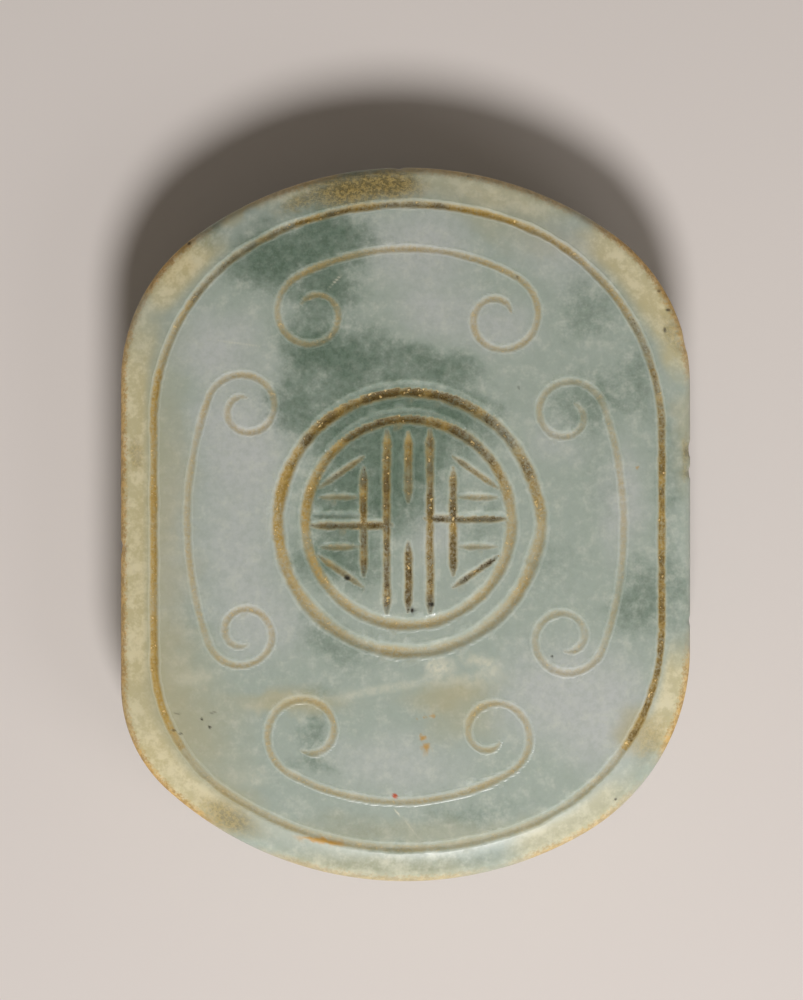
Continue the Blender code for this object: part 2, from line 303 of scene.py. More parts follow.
def strays(x, y, number):
    """How far a line strays from its course at this place, one way."""
    return SWAY * unsteady(x, y, SWAY_LENGTH, number) + JITTER * unsteady(x, y, JITTER_LENGTH, number + 1)


def cut(points, width, depth, stain, darkness, fade=0.0):
    """Adds a groove along these points. stain and darkness tell how dirty and how black it is at (x, y)."""
    line = evenly(points, spacing=POINT_SPACING)
    number = len(groove_points)
    for k, (x, y) in enumerate(line):
        to_end = min(k, len(line) - 1 - k) * POINT_SPACING
        size = 1.0
        if fade:
            size = FADED_SIZE + (1 - FADED_SIZE) * min(1.0, to_end / fade)
        true_x = x + strays(x, y, number)
        true_y = y + strays(x, y, number + 2)
        swell = 1.0 + SWELL * unsteady(x, y, SWELL_LENGTH, number + 4)
        swell += CHATTER * unsteady(x, y, CHATTER_LENGTH, number + 5)
        half = size * swell * width / 2
        stained = size * stain(x, y) * (1.0 + STAIN_CHANGE * unsteady(x, y, STAIN_LENGTH, number + 6))
        dark = darkness(x, y) * (1.0 + DARK_CHANGE * unsteady(x, y, DARK_LENGTH, number + 7))
        groove_points.append((true_x, true_y, half, size * swell * depth, stained, dark))


def closed(points):
    """A closed line that ends where it starts."""
    return points + points[:1]


def border_stain(x, y):
    """Ochre down both sides and over the top, fainter round the upper shoulders and along the foot."""
    if y < -0.020:
        return 0.34
    return 0.90 if y < 0.014 or abs(x) < 0.010 else 0.60


def border_darkness(x, y):
    """Darkest over the top left and down the right side."""
    return 0.36 if (x < 0.004 and y > 0.020) or x > 0.020 else 0.12


cut(
    closed([tuple(point) for point in border_line]),
    BORDER_WIDTH,
    BORDER_DEPTH,
    border_stain,
    border_darkness,
)


# The roundel
# In the middle of the face two rings hold a lattice of straight bars, the same on either side.
# The rings are the widest and deepest cuts, and rings and bars hold the darkest dirt of long wear.

ROUNDEL_SHIFT = (0.00025, 0.0003)
OUTER_RING_RADIUS = 0.01165
OUTER_RING_WIDTH = 0.00112
OUTER_RING_DEPTH = 0.00030
OUTER_RING_KINK = 0.00022  # how far the wheel slipped outwards at the right of the outer ring
KINK_TURN = 0.30  # how far that slip reaches up and down the ring, in radians
INNER_RING_RADIUS = 0.0092
INNER_RING_WIDTH = 0.00098
INNER_RING_DEPTH = 0.00026
# Where each bar stands, starts and ends, as shares of the inner ring's radius
UPRIGHT_X = 0.210
UPRIGHT_REACH = 0.88
MIDDLE_ROOT = 0.20
MIDDLE_REACH = 0.87
POST_X = 0.434
POST_REACH = 0.52
BEAM_ROOT = 0.16
BEAM_REACH = 0.955
BEAM_SLIP = 0.033  # the right beam sits this much too high and the left one too low
BEAM_RECUT_OFFSET = 0.058
SLAT_Y = 0.240
SLAT_ROOT = 0.49
SLAT_REACH = 0.86
BRACE_TOP = (0.435, 0.635)
BRACE_FOOT = (0.870, 0.330)
# How wide and deep they are cut
BAR_WIDTH = 0.00078
BAR_DEPTH = 0.00025
FINE_BAR_WIDTH = 0.00060
FINE_BAR_DEPTH = 0.00018
BAR_FADE = 0.0010
RECUT_OFFSET = 0.00048
RECUT_WIDTH = 0.00080
RECUT_DEPTH = 0.00021
RECUT_FADE = 0.0060


def ring(radius, kink=0.0):
    """A closed ring, pushed outwards by the kink where it crosses the right side."""
    points = []
    for x, y in arc((0.0, 0.0), radius, -pi, pi, 4 * ARC_STEPS):
        push = 1 + kink / radius * max(0.0, 1 - (atan2(y, x) / KINK_TURN) ** 2) ** 2
        points.append((ROUNDEL_SHIFT[0] + x * push, ROUNDEL_SHIFT[1] + y * push))
    return closed(points)


def bar(start, end):
    """A straight bar between two places given as shares of the inner ring's radius."""
    shift_x, shift_y = ROUNDEL_SHIFT
    return [(shift_x + x * INNER_RING_RADIUS, shift_y + y * INNER_RING_RADIUS) for x, y in (start, end)]


def ring_stain(x, y):
    """Strongest along the top, and weakest at the lower right."""
    return 0.72 + 0.26 * y / OUTER_RING_RADIUS - 0.10 * x / OUTER_RING_RADIUS


def ring_darkness(x, y):
    """Black over the top, and hardly at all along the foot."""
    return max(0.08, 0.46 * y / OUTER_RING_RADIUS + 0.12)


def clean(x, y):
    """For a groove that holds no dirt."""
    return 0.0


def recut(radius, start, end):
    """The part of a ring that was gone over again, a little wide of the first cut, and stayed clean."""
    points = arc(ROUNDEL_SHIFT, radius, radians(start), radians(end))
    cut(points, RECUT_WIDTH, RECUT_DEPTH, clean, clean, RECUT_FADE)


recut(OUTER_RING_RADIUS + RECUT_OFFSET, 52, 136)
recut(INNER_RING_RADIUS + RECUT_OFFSET, 60, 140)
cut(ring(OUTER_RING_RADIUS, OUTER_RING_KINK), OUTER_RING_WIDTH, OUTER_RING_DEPTH, ring_stain, ring_darkness)
cut(ring(INNER_RING_RADIUS), INNER_RING_WIDTH, INNER_RING_DEPTH, ring_stain, ring_darkness)
for side in (-1, 1):
    main_bars = [
        ((side * UPRIGHT_X, -UPRIGHT_REACH), (side * UPRIGHT_X, UPRIGHT_REACH), 0.45),
        ((side * POST_X, -POST_REACH), (side * POST_X, POST_REACH), 0.52),
        ((side * BEAM_ROOT, side * BEAM_SLIP), (side * BEAM_REACH, side * BEAM_SLIP), 0.50),
        ((0.0, side * MIDDLE_ROOT), (0.0, side * MIDDLE_REACH), 0.60 if side < 0 else 0.40),
    ]
    for start, end, dark in main_bars:
        held = min(0.90, 0.4 + dark)
        cut(bar(start, end), BAR_WIDTH, BAR_DEPTH, lambda x, y, s=held: s, lambda x, y, d=dark: d, BAR_FADE)
    above_beam = bar((side * POST_X, BEAM_RECUT_OFFSET), (side * BEAM_REACH, BEAM_RECUT_OFFSET))
    cut(above_beam, FINE_BAR_WIDTH, FINE_BAR_DEPTH, clean, clean, BAR_FADE)
    for end in (-1, 1):
        slat = bar((side * SLAT_ROOT, end * SLAT_Y), (side * SLAT_REACH, end * SLAT_Y))
        brace_top = (side * BRACE_TOP[0], end * BRACE_TOP[1])
        brace_foot = (side * BRACE_FOOT[0], end * BRACE_FOOT[1])
        held = 0.95 if side > 0 > end else 0.65
        dark = held - 0.35
        cut(slat, FINE_BAR_WIDTH, FINE_BAR_DEPTH, lambda x, y: 0.45, lambda x, y: 0.2, BAR_FADE)
        brace = bar(brace_top, brace_foot)
        cut(brace, FINE_BAR_WIDTH, FINE_BAR_DEPTH, lambda x, y, s=held: s, lambda x, y, d=dark: d, BAR_FADE)


# The scrolls
# Four long lines bow round the roundel, one on each side, and curl inwards at both ends.
# They are cut lighter than the rest, and each curl winds a little differently.

SCROLL_WIDTH = 0.00064
SCROLL_DEPTH = 0.00011
SPINE_STEPS = 24
CURL_STEP = radians(6)
END_SCROLL_GAP = 0.0041
SIDE_SCROLL_GAP = 0.0032
# Each spine as the radius of its bow and half its turn
END_SPINE = (0.0204, radians(28.6))
SIDE_SPINE = (0.0330, radians(19.1))
# Each curl as its radius where it leaves the spine, its radius at its eye, and its whole turn
TOP_LEFT_CURL = (0.00359, 0.00135, radians(424))
TOP_RIGHT_CURL = (0.00393, 0.00108, radians(445))
FOOT_LEFT_CURL = (0.00397, 0.00164, radians(389))
FOOT_RIGHT_CURL = (0.00384, 0.00097, radians(429))
LEFT_UPPER_CURL = (0.00347, 0.00098, radians(474))
LEFT_LOWER_CURL = (0.00330, 0.00111, radians(482))
RIGHT_UPPER_CURL = (0.00335, 0.00115, radians(427))
RIGHT_LOWER_CURL = (0.00353, 0.00116, radians(467))
# How far each scroll was cut to one side of its axis
TOP_SLIP = 0.0001
FOOT_SLIP = -0.0006
LEFT_SLIP = 0.0004
RIGHT_SLIP = -0.0001


def half_scroll(middle, heading, turn_sign, spine_radius, spine_turn, curl):
    """Points from the middle of a scroll's spine to the eye of the curl at one end."""
    curl_radius, eye_radius, whole_turn = curl
    curl_steps = round((whole_turn - spine_turn) / CURL_STEP)
    curl_bend = (whole_turn - spine_turn) / curl_steps
    bends = [(spine_radius, spine_turn / SPINE_STEPS)] * SPINE_STEPS
    for k in range(curl_steps):
        share = (k + 0.5) / curl_steps
        bends.append((curl_radius + (eye_radius - curl_radius) * share, curl_bend))
    path = [middle]
    for radius, bend in bends:
        chord = 2 * radius * sin(bend / 2)
        heading += turn_sign * bend / 2
        x, y = path[-1]
        path.append((x + chord * cos(heading), y + chord * sin(heading)))
        heading += turn_sign * bend / 2
    return path


def scroll(middle, heading, spine, curl_behind, curl_ahead):
    """A whole scroll that bows away from the roundel: one half runs along the heading, the other back."""
    ahead = half_scroll(middle, heading, 1, *spine, curl_ahead)
    behind = half_scroll(middle, heading + pi, -1, *spine, curl_behind)
    return behind[:0:-1] + ahead


scroll_x = WIDTH / 2 - BORDER_SIDE_INSET - SIDE_SCROLL_GAP
scroll_y = LENGTH / 2 - BORDER_END_INSET - END_SCROLL_GAP
scrolls = [
    (scroll((scroll_x, RIGHT_SLIP), pi / 2, SIDE_SPINE, RIGHT_LOWER_CURL, RIGHT_UPPER_CURL), 0.30),
    (scroll((TOP_SLIP, scroll_y), pi, END_SPINE, TOP_RIGHT_CURL, TOP_LEFT_CURL), 0.46),
    (scroll((-scroll_x, LEFT_SLIP), -pi / 2, SIDE_SPINE, LEFT_UPPER_CURL, LEFT_LOWER_CURL), 0.40),
    (scroll((FOOT_SLIP, -scroll_y), 0.0, END_SPINE, FOOT_LEFT_CURL, FOOT_RIGHT_CURL), 0.44),
]
for points, stained in scrolls:
    cut(points, SCROLL_WIDTH, SCROLL_DEPTH, lambda x, y, s=stained: s, lambda x, y: 0.05, BAR_FADE)


# The marks
# Wear and age have left small things on the polished face: spots of rust and soot, scratches,
# a pale vein, rough pitted places where the skin was never ground away, and chips out of the rim.

# Each mark as its middle in mm from the middle of the face, its two half sizes in mm, how far it is
# turned in degrees, and how strong it is
ROUGH_PLACES = (
    (-4.8, 30.1, 4.0, 1.5, 8, 0.95),
    (-1.0, 30.6, 2.6, 1.5, -5, 0.90),
    (-9.6, 28.8, 1.8, 0.7, 24, 0.50),
    (23.9, 17.0, 0.7, 1.8, 20, 0.45),
    (23.4, 20.0, 0.5, 1.4, 30, 0.35),
    (25.1, 6.6, 0.5, 1.2, 0, 0.50),
    (25.1, 4.6, 0.5, 0.7, 0, 0.40),
    (21.9, -19.2, 1.4, 2.2, -28, 0.30),
    (-15.9, -26.3, 2.6, 1.2, -28, 0.60),
    (-24.1, 6.2, 0.6, 1.3, 0, 0.40),
    (-20.0, 24.8, 0.7, 0.5, 45, 0.45),
)
OCHRE_SPOTS = (
    (1.5, -19.0, 0.34, 0.30, 0, 0.85),
    (1.9, -19.9, 0.40, 0.26, 10, 0.85),
    (2.4, -17.1, 0.22, 0.26, 0, 0.60),
    (1.7, -17.3, 0.12, 0.12, 0, 0.60),
    (0.9, -17.2, 0.10, 0.12, 0, 0.50),
    (-7.5, -28.3, 2.1, 0.28, -9, 0.95),
    (20.7, 5.1, 0.16, 0.12, 0, 0.60),
)
RED_SPOTS = ((-0.95, -24.25, 0.24, 0.20, 0, 0.95),)
BLACK_SPOTS = (
    (-5.2, -4.75, 0.28, 0.22, 0, 1.0),
    (2.3, -7.1, 0.26, 0.17, 0, 1.0),
    (0.6, -7.65, 0.17, 0.25, 0, 1.0),
    (-18.2, -17.4, 0.12, 0.12, 0, 0.95),
    (-17.5, -18.1, 0.14, 0.12, 0, 0.95),
    (-20.7, -18.4, 0.22, 0.10, 0, 0.75),
    (-20.1, -18.7, 0.20, 0.08, 0, 0.70),
    (-20.4, -16.9, 0.34, 0.08, 0, 0.40),
    (-17.2, -16.8, 0.30, 0.08, 10, 0.40),
    (-19.4, 25.2, 0.22, 0.20, 0, 0.95),
    (10.0, 22.1, 0.10, 0.10, 0, 0.80),
    (13.1, -11.8, 0.10, 0.10, 0, 0.90),
    (18.8, -24.6, 0.14, 0.12, 0, 0.90),
    (10.1, 12.2, 0.12, 0.10, 0, 0.50),
    (5.6, 31.2, 0.12, 0.12, 0, 0.60),
    (22.7, 20.9, 0.20, 0.16, 0, 0.60),
    (23.5, 19.2, 0.26, 0.14, 0, 0.85),
    (23.2, 17.4, 0.14, 0.26, 0, 0.75),
)
PALE_LINES = (
    (-2.0, -14.7, 4.4, 0.40, 10, 0.35),
    (-8.8, -15.5, 4.0, 0.40, -4, 0.12),
    (-0.7, -25.8, 0.06, 0.45, 38, 0.90),
    (0.3, -26.9, 0.06, 1.2, 38, 0.30),
    (-6.2, 21.8, 0.9, 0.07, 48, 0.60),
    (-15.0, 16.2, 2.4, 0.06, -8, 0.40),
)
# Each chip as its middle in mm, its radius in mm, and its depth as a share of that
CHIPS = (
    (25.6, 6.8, 0.8, 0.18),
    (25.6, 4.7, 0.6, 0.20),
    (24.9, 16.2, 0.9, 0.10),
    (-25.6, -2.0, 0.7, 0.20),
    (-0.6, 32.1, 0.5, 0.25),
    (25.6, -8.6, 0.5, 0.20),
)
CLOUD_DEPTH = 8.0  # in mm, how far a cloud reaches down into the stone
MARK_DEPTH = 3.0


def patches(spots, rows, softness, depth=CLOUD_DEPTH, margin=0.0):
    """All the marks or clouds of one kind, as one value from 0 to 1 for each place in mm."""
    mask = np.zeros(len(spots))
    for x, y, half_length, half_width, turn, strength in rows:
        away = spots - (x, y, FACE_TOP * 1000)
        along = away[:, 0] * cos(radians(turn)) + away[:, 1] * sin(radians(turn))
        across = away[:, 1] * cos(radians(turn)) - away[:, 0] * sin(radians(turn))
        shares = (along / (half_length + margin), across / (half_width + margin), away[:, 2] / depth)
        length = np.sqrt(sum(share**2 for share in shares))
        rise = np.clip((1 + softness - length) / (2 * softness), 0.0, 1.0)
        mask += strength * rise * rise * (3 - 2 * rise) * (1 - mask)
    return mask


# The cutting
# Every line is cut into the face at once: the grid is made finer beside the lines and marks, each
# vertex is weighed by how deep the wheel went there, and the weights push the face down.

FINE_CUTS = 3
FINE_MARGIN = 0.00036
WORN_SPREAD = 1.25  # a groove's edges are worn, so it starts this much wider than the wheel
DEEPEST = max(depth for _, _, _, depth, _, _ in groove_points)
WIDEST = WORN_SPREAD * max(half for _, _, half, _, _, _ in groove_points)
GROUND_SPREAD = 1.20  # the dull ground stone reaches this much wider than the groove
DIRT_SHADE_SLIP = 0.00008  # dirt moved to a groove's lower wall, turned from the lamp: partly painted shade
WALL_DIRT = 0.32  # the share of the dirt that clings to a groove's walls
CORE_DIRT = 0.60  # the share that lies along its middle
CORE_EDGE = 0.12  # the middle begins at this share of the groove's depth
CORE_SLOPE = 0.55  # and holds its full dirt this much deeper

line_points = kdtree.KDTree(len(groove_points))
for number, point in enumerate(groove_points):
    line_points.insert((point[0], point[1], 0.0), number)
line_points.balance()


def on_face(normal_z, height):
    return normal_z > 0.5 and height > PLAQUE_BACK + (FACE_TOP - PLAQUE_BACK) / 2


def beside_a_line(x, y):
    _, number, distance = line_points.find((x, y, 0.0))
    return distance < groove_points[number][2] + FINE_MARGIN


centres = np.empty(len(buckle.data.polygons) * 3)
buckle.data.polygons.foreach_get("center", centres)
centres = centres.reshape(-1, 3) * 1000
small_marks = ROUGH_PLACES + OCHRE_SPOTS + RED_SPOTS + BLACK_SPOTS + PALE_LINES
chips = [(x, y, radius, radius, 0, 1.0) for x, y, radius, _ in CHIPS]
marked = patches(centres, small_marks, 0.05, MARK_DEPTH, margin=0.25) > 0
marked |= patches(centres, chips, 0.05, MARK_DEPTH, margin=0.25) > 0
fine_faces = {
    face.index
    for face, mark in zip(buckle.data.polygons, marked)
    if mark or (on_face(face.normal.z, face.center.z) and beside_a_line(face.center.x, face.center.y))
}

bpy.ops.object.mode_set(mode="EDIT")
pick("FACE", lambda face: face.index in fine_faces)
bpy.ops.mesh.subdivide(number_cuts=FINE_CUTS)
bpy.ops.object.mode_set(mode="OBJECT")


def cut_at(x, y):
    """The depth cut away at a place, that depth as a share, and the groove's stain and darkness."""
    deepest = (0.0, 0.0, 0.0, 0.0)
    for _, number, distance in line_points.find_range((x, y, 0.0), WIDEST):
        _, _, half, depth, stained, dark = groove_points[number]
        across = distance / (half * WORN_SPREAD)
        if across < 1.0:
            share = (1 - across * across) ** 2
            deepest = max(deepest, (depth * share, share, stained, dark))
    return deepest


def ground_at(x, y):
    """1 in a groove, falling to 0 a little beside it."""
    _, number, distance = line_points.find((x, y, 0.0))
    across = distance / (groove_points[number][2] * WORN_SPREAD)
    return min(1.0, max(0.0, (GROUND_SPREAD - across) / (GROUND_SPREAD - 1)))


def keep(name, values):
    """Stores a value for each vertex of the stone, for its material to read."""
    buckle.data.attributes.new(name, "FLOAT", "POINT").data.foreach_set("value", values)


depths = buckle.vertex_groups.new(name="depths")
cut_share = np.zeros(len(buckle.data.vertices))
dirt = np.zeros(len(buckle.data.vertices))
darkness = np.zeros(len(buckle.data.vertices))
for vertex in buckle.data.vertices:
    if not on_face(vertex.normal.z, vertex.co.z):
        continue
    depth = cut_at(vertex.co.x, vertex.co.y)[0]
    if depth:
        depths.add([vertex.index], depth / DEEPEST, "REPLACE")
    cut_share[vertex.index] = ground_at(vertex.co.x, vertex.co.y)
    # The dirt is read a little to the lower side, on the wall turned from the lamp: partly painted shade
    _, share, stained, dark = cut_at(vertex.co.x, vertex.co.y + DIRT_SHADE_SLIP)
    core = min(1.0, max(0.0, (share - CORE_EDGE) / CORE_SLOPE))
    dirt[vertex.index] = stained * (WALL_DIRT * sqrt(share) + CORE_DIRT * core)
    darkness[vertex.index] = dark * core
keep("cut", cut_share)
keep("dirt", dirt)
keep("darkness", darkness)

bpy.ops.object.modifier_add(type="DISPLACE")
wheel = buckle.modifiers[-1]
wheel.direction = "Z"
wheel.mid_level = 0.0
wheel.strength = -DEEPEST
wheel.vertex_group = "depths"
bpy.ops.object.modifier_apply(modifier=wheel.name)

# The chips are knocked out of the rim, each with a rough, shallow hollow
RAGGEDNESS = 0.5
RAGGED_LENGTH = 0.0004
for x, y, radius, depth in CHIPS:
    middle = Vector((x, y, 0.0)) / 1000
    inwards = -middle.normalized()
    for vertex in buckle.data.vertices:
        apart = hypot(vertex.co.x - middle.x, vertex.co.y - middle.y) * 1000 / radius
        if vertex.co.z > (PLAQUE_BACK + FACE_TOP) / 2 and apart < 1.0:
            ragged = 1 + RAGGEDNESS * unsteady(vertex.co.x, vertex.co.y, RAGGED_LENGTH)
            knocked = (1 - apart * apart) * depth * radius / 1000 * ragged
            vertex.co += inwards * knocked - Vector((0.0, 0.0, knocked))
bpy.ops.object.shade_smooth_by_angle(angle=radians(50))


# The jade
# Pale grey jade with a breath of lavender, clouded with blue-green and waxy where it is polished.
# The skin of the pebble and long wear have yellowed it along the rim.

WHITE_LIGHT = 1.20  # how much brighter the stone's own colour is than the same place in the photograph
LIP_WIDTH = 0.0012
LIP_TOP = 0.0108
LIP_FOOT = 0.0088  # between these heights on the side the lip's brown specks thin out

# Each cloud as its middle in mm from the middle of the face, its two half sizes in mm, how far it
# is turned in degrees, and how strong it is
GREEN_CLOUDS = (
    (-11.7, 24.0, 4.2, 2.8, 22, 0.90),
    (-6.3, 25.2, 3.8, 2.6, 12, 0.90),
    (-7.2, 20.4, 2.6, 2.2, 0, 0.85),
    (-9.2, 15.8, 2.6, 2.6, 0, 0.75),
    (-6.2, 14.6, 3.4, 2.6, 0, 0.85),
    (-1.6, 14.8, 3.0, 1.6, 0, 0.60),
    (3.3, 14.4, 3.6, 1.4, -18, 0.75),
    (-10.3, 10.8, 2.2, 2.2, 0, 0.65),
    (-5.2, 8.3, 4.0, 3.2, 0, 0.85),
    (0.0, 11.0, 5.0, 2.2, 0, 0.95),
    (-5.2, 2.6, 3.6, 3.6, 0, 0.80),
    (0.0, 5.4, 3.8, 4.8, 0, 0.95),
    (0.0, 10.4, 5.4, 1.2, 0, 0.85),
    (-5.4, -3.2, 3.6, 2.8, 0, 0.75),
    (5.8, 8.6, 2.8, 3.0, 0, 0.60),
    (6.4, 0.6, 2.4, 3.2, 0, 0.35),
    (-6.3, -10.3, 3.6, 1.8, -30, 0.45),
    (-7.8, -15.0, 1.8, 1.2, 0, 0.30),
    (-8.2, -19.0, 1.2, 2.2, 0, 0.50),
    (-8.4, -21.6, 2.0, 0.9, -10, 0.50),
    (5.8, -25.6, 5.0, 1.2, 8, 0.35),
    (-4.0, -27.0, 4.0, 1.0, -5, 0.25),
    # This row clouds the foot's band green and also darkens it where it faces the lamp: partly painted shade
    (-1.0, -30.0, 8.0, 1.0, 0, 0.55),
    (16.4, 11.4, 3.2, 2.2, 10, 0.52),
    (20.8, 12.4, 1.4, 4.0, 5, 0.42),
    (16.5, 19.2, 2.4, 2.8, 0, 0.42),
    (21.0, -6.6, 2.2, 3.2, -10, 0.60),
    (24.3, -5.6, 1.3, 4.2, 0, 0.50),
    (23.6, 4.6, 1.4, 5.4, 0, 0.38),
    (17.0, 4.6, 2.0, 4.0, 0, 0.20),
    (13.0, -3.6, 2.4, 2.0, 0, 0.22),
    (12.0, -11.4, 3.0, 2.0, 0, 0.15),
    (-5.4, 29.9, 6.0, 1.4, 12, 0.50),
    (-17.6, 26.0, 2.6, 1.0, 42, 0.55),
    (10.0, 28.6, 3.4, 0.8, -20, 0.12),
    (-19.0, -8.0, 2.0, 4.0, 0, 0.15),
)
LAVENDER_CLOUDS = (
    (-14.8, 6.7, 3.6, 6.0, 0, 0.90),
    (-15.0, -3.6, 3.6, 5.0, 0, 0.75),
    (-13.0, -9.0, 3.6, 2.6, 0, 0.60),
    (-17.0, 15.6, 3.2, 2.6, 0, 0.85),
    (1.2, 24.6, 4.4, 3.2, 0, 0.80),
    (3.0, 19.4, 3.4, 1.8, 0, 0.75),
    (14.0, 24.0, 4.0, 2.2, -20, 0.60),
    (8.4, 17.4, 3.2, 1.8, 0, 0.75),
    (13.6, 7.6, 2.2, 1.6, 0, 0.50),
    (13.6, -15.2, 4.6, 4.4, 0, 0.90),
    (18.4, -16.6, 3.0, 4.6, -10, 0.90),
    (-1.0, -21.4, 5.4, 2.4, 0, 0.60),
    (19.0, 2.0, 1.8, 4.0, 0, 0.70),
    (2.0, -1.0, 2.0, 2.6, 0, 0.60),
    (-20.8, -2.0, 1.6, 9.0, 0, 0.40),
)
PALE_CLOUDS = (
    (2.7, -12.8, 1.2, 0.8, 10, 0.75),
    (6.6, -12.3, 1.5, 0.7, -15, 0.65),
    (5.2, -14.0, 3.4, 0.7, 5, 0.35),
    (-19.0, -13.4, 1.8, 0.6, -10, 0.30),
    (-13.4, -16.2, 1.2, 0.7, 0, 0.30),
    (-14.2, -22.4, 1.4, 0.8, 20, 0.25),
    (8.0, 28.8, 3.0, 0.8, -15, 0.35),
    (20.6, 22.6, 3.4, 0.8, -52, 0.40),
)
YELLOW_CLOUDS = (
    (-21.0, -18.0, 5.0, 7.0, 20, 0.42),
    (-22.6, -2.0, 2.8, 16.0, 0, 0.38),
    (-10.4, -15.8, 4.0, 1.1, 0, 0.48),
    (3.6, -15.2, 3.6, 1.0, 5, 0.45),
    (5.2, -17.2, 3.0, 1.6, 0, 0.28),
    (-20.3, 23.2, 1.5, 1.2, 50, 0.85),
    (-14.3, 28.3, 1.9, 0.7, 28, 0.70),
    (8.0, 27.4, 7.0, 1.4, -22, 0.25),
    (22.6, 19.0, 1.4, 3.6, 30, 0.20),
    (25.0, 9.0, 0.9, 5.0, 0, 0.30),
    (-15.6, -25.4, 3.0, 1.6, -35, 0.45),
    (0.0, -27.4, 12.0, 1.2, 0, 0.22),
    (21.6, -19.0, 1.6, 1.6, -28, 0.70),
)
RIM_YELLOW = (
    (-25.0, 0.0, 4.0, 20.0, 0, 0.75),
    (-20.0, -22.0, 6.0, 5.0, 0, 0.75),
    (-20.0, 23.0, 4.0, 3.0, 45, 0.75),
    (-10.0, 31.0, 5.0, 2.0, 20, 0.45),
    (9.0, 31.0, 9.0, 3.0, -12, 0.45),
    (20.0, 22.0, 5.0, 5.0, -50, 0.75),
    (24.4, 17.6, 2.5, 4.0, 10, 0.65),
    (24.5, -17.0, 3.0, 6.0, 0, 0.75),
    (15.0, -27.0, 6.0, 3.0, 35, 0.50),
    (-4.0, -32.0, 11.0, 3.0, 0, 0.35),
)
CLOUD_SEED = 1  # without it the clouds' edges would stray differently each time

noise.seed_set(CLOUD_SEED)


def strayed(spots, per_mm, amount, octaves=3):
    """The places pushed about by up to this many mm, so that what is laid there has ragged edges."""
    pushes = [noise.turbulence_vector(Vector(spot) * per_mm, octaves, False) for spot in spots]
    return spots + amount * np.array(pushes)


spots = places(buckle)
lip_line = np.array(outline(LIP_WIDTH, LIP_WIDTH, [radius - LIP_WIDTH for radius in SHOULDER_RADII]))
keep("band", share_between(spots, border_line, band_edge))
height_share = np.clip((spots[:, 2] - LIP_FOOT) / (LIP_TOP - LIP_FOOT), 0.35, 1.0)
keep("lip", share_between(spots, lip_line, rim_line) * height_share)
# The clouds fade out in the lower half of the stone, so that its back is plain
front_share = np.clip(2 * (spots[:, 2] - PLAQUE_BACK) / (FACE_TOP - PLAQUE_BACK), 0.0, 1.0)
spots *= 1000
cloudy_spots = strayed(strayed(spots, 0.22, 1.1), 1.1, 0.45)
ragged_spots = strayed(spots, 1.6, 0.30)
keep("green", front_share * patches(cloudy_spots, GREEN_CLOUDS, 0.75))
pale_lines = patches(spots, PALE_LINES, 0.6, MARK_DEPTH)
keep("pale", front_share * np.maximum(patches(cloudy_spots, PALE_CLOUDS, 0.6), pale_lines))
keep("yellow", front_share * patches(cloudy_spots, YELLOW_CLOUDS, 0.8))
keep("skin", patches(cloudy_spots, RIM_YELLOW, 0.4, 3 * CLOUD_DEPTH))
keep("rough", patches(ragged_spots, ROUGH_PLACES, 0.6, MARK_DEPTH))
keep("ochre", patches(ragged_spots, OCHRE_SPOTS, 0.4, MARK_DEPTH))
keep("red", patches(spots, RED_SPOTS, 0.3, MARK_DEPTH))
keep("black", patches(spots, BLACK_SPOTS, 0.4, MARK_DEPTH))
keep("lavender", front_share * patches(cloudy_spots, LAVENDER_CLOUDS, 0.8))

jade = bpy.data.materials.new("jade")
jade.use_nodes = True
jade_tree = jade.node_tree
jade_shader = jade_tree.nodes["Principled BSDF"]


def add_node(tree, kind, sockets=(), **settings):
    """Adds a node. sockets gives its inputs, each as a value or as another node's output."""
    made = tree.nodes.new(kind)
    for name, value in settings.items():
        setattr(made, name, value)
    for name, value in dict(sockets).items():
        if isinstance(value, bpy.types.NodeSocket):
            tree.links.new(value, made.inputs[name])
        else:
            made.inputs[name].default_value = value
    return made


def sums(tree, operation, *values, clamp=False):
    """The result of a Math node."""
    sockets = dict(enumerate(values))
    return add_node(tree, "ShaderNodeMath", sockets, operation=operation, use_clamp=clamp).outputs[0]


def eased(tree, value, start, end, lowest=0.0, highest=1.0):
    """Goes smoothly from the lowest value at start to the highest at end."""
    sockets = {"Value": value, "From Min": start, "From Max": end, "To Min": lowest, "To Max": highest}
    return add_node(tree, "ShaderNodeMapRange", sockets, interpolation_type="SMOOTHSTEP").outputs["Result"]


def grain(tree, place, per_mm, detail, roughness=0.6):
    """Noise with this many waves to the millimetre."""
    sockets = {"Vector": place, "Scale": per_mm, "Detail": detail, "Roughness": roughness}
    return add_node(tree, "ShaderNodeTexNoise", sockets).outputs[0]


def laid(share, under, over):
    """One colour of the stone laid over another by a share."""
    sockets = {0: share, 6: under, 7: over}  # a Mix node's factor and its two colours
    return add_node(jade_tree, "ShaderNodeMix", sockets, data_type="RGBA").outputs[2]


def seen(red, green, blue):
    """The stone's own colour, where the photograph shows these three values of 255."""
    shares = [value / 255 for value in (red, green, blue)]
    return (*[WHITE_LIGHT * ((share + 0.055) / 1.055) ** 2.4 for share in shares], 1.0)


def kept(name):
    """One of the values stored on the stone."""
    return add_node(jade_tree, "ShaderNodeAttribute", attribute_name=name).outputs["Fac"]


object_place = add_node(jade_tree, "ShaderNodeTexCoord").outputs["Object"]
millimetres = add_node(jade_tree, "ShaderNodeMapping", {"Vector": object_place, "Scale": (1000, 1000, 1000)})
place = millimetres.outputs[0]
mottle = grain(jade_tree, place, 1.6, 2.0, 0.8)
feather = grain(jade_tree, place, 0.7, 3.0, 0.8)
grit = grain(jade_tree, place, 3.2, 2.0, 0.8)
cut_away = kept("cut")
dirt_held = kept("dirt")
dirt_dark = kept("darkness")
skin = kept("skin")
rough = kept("rough")

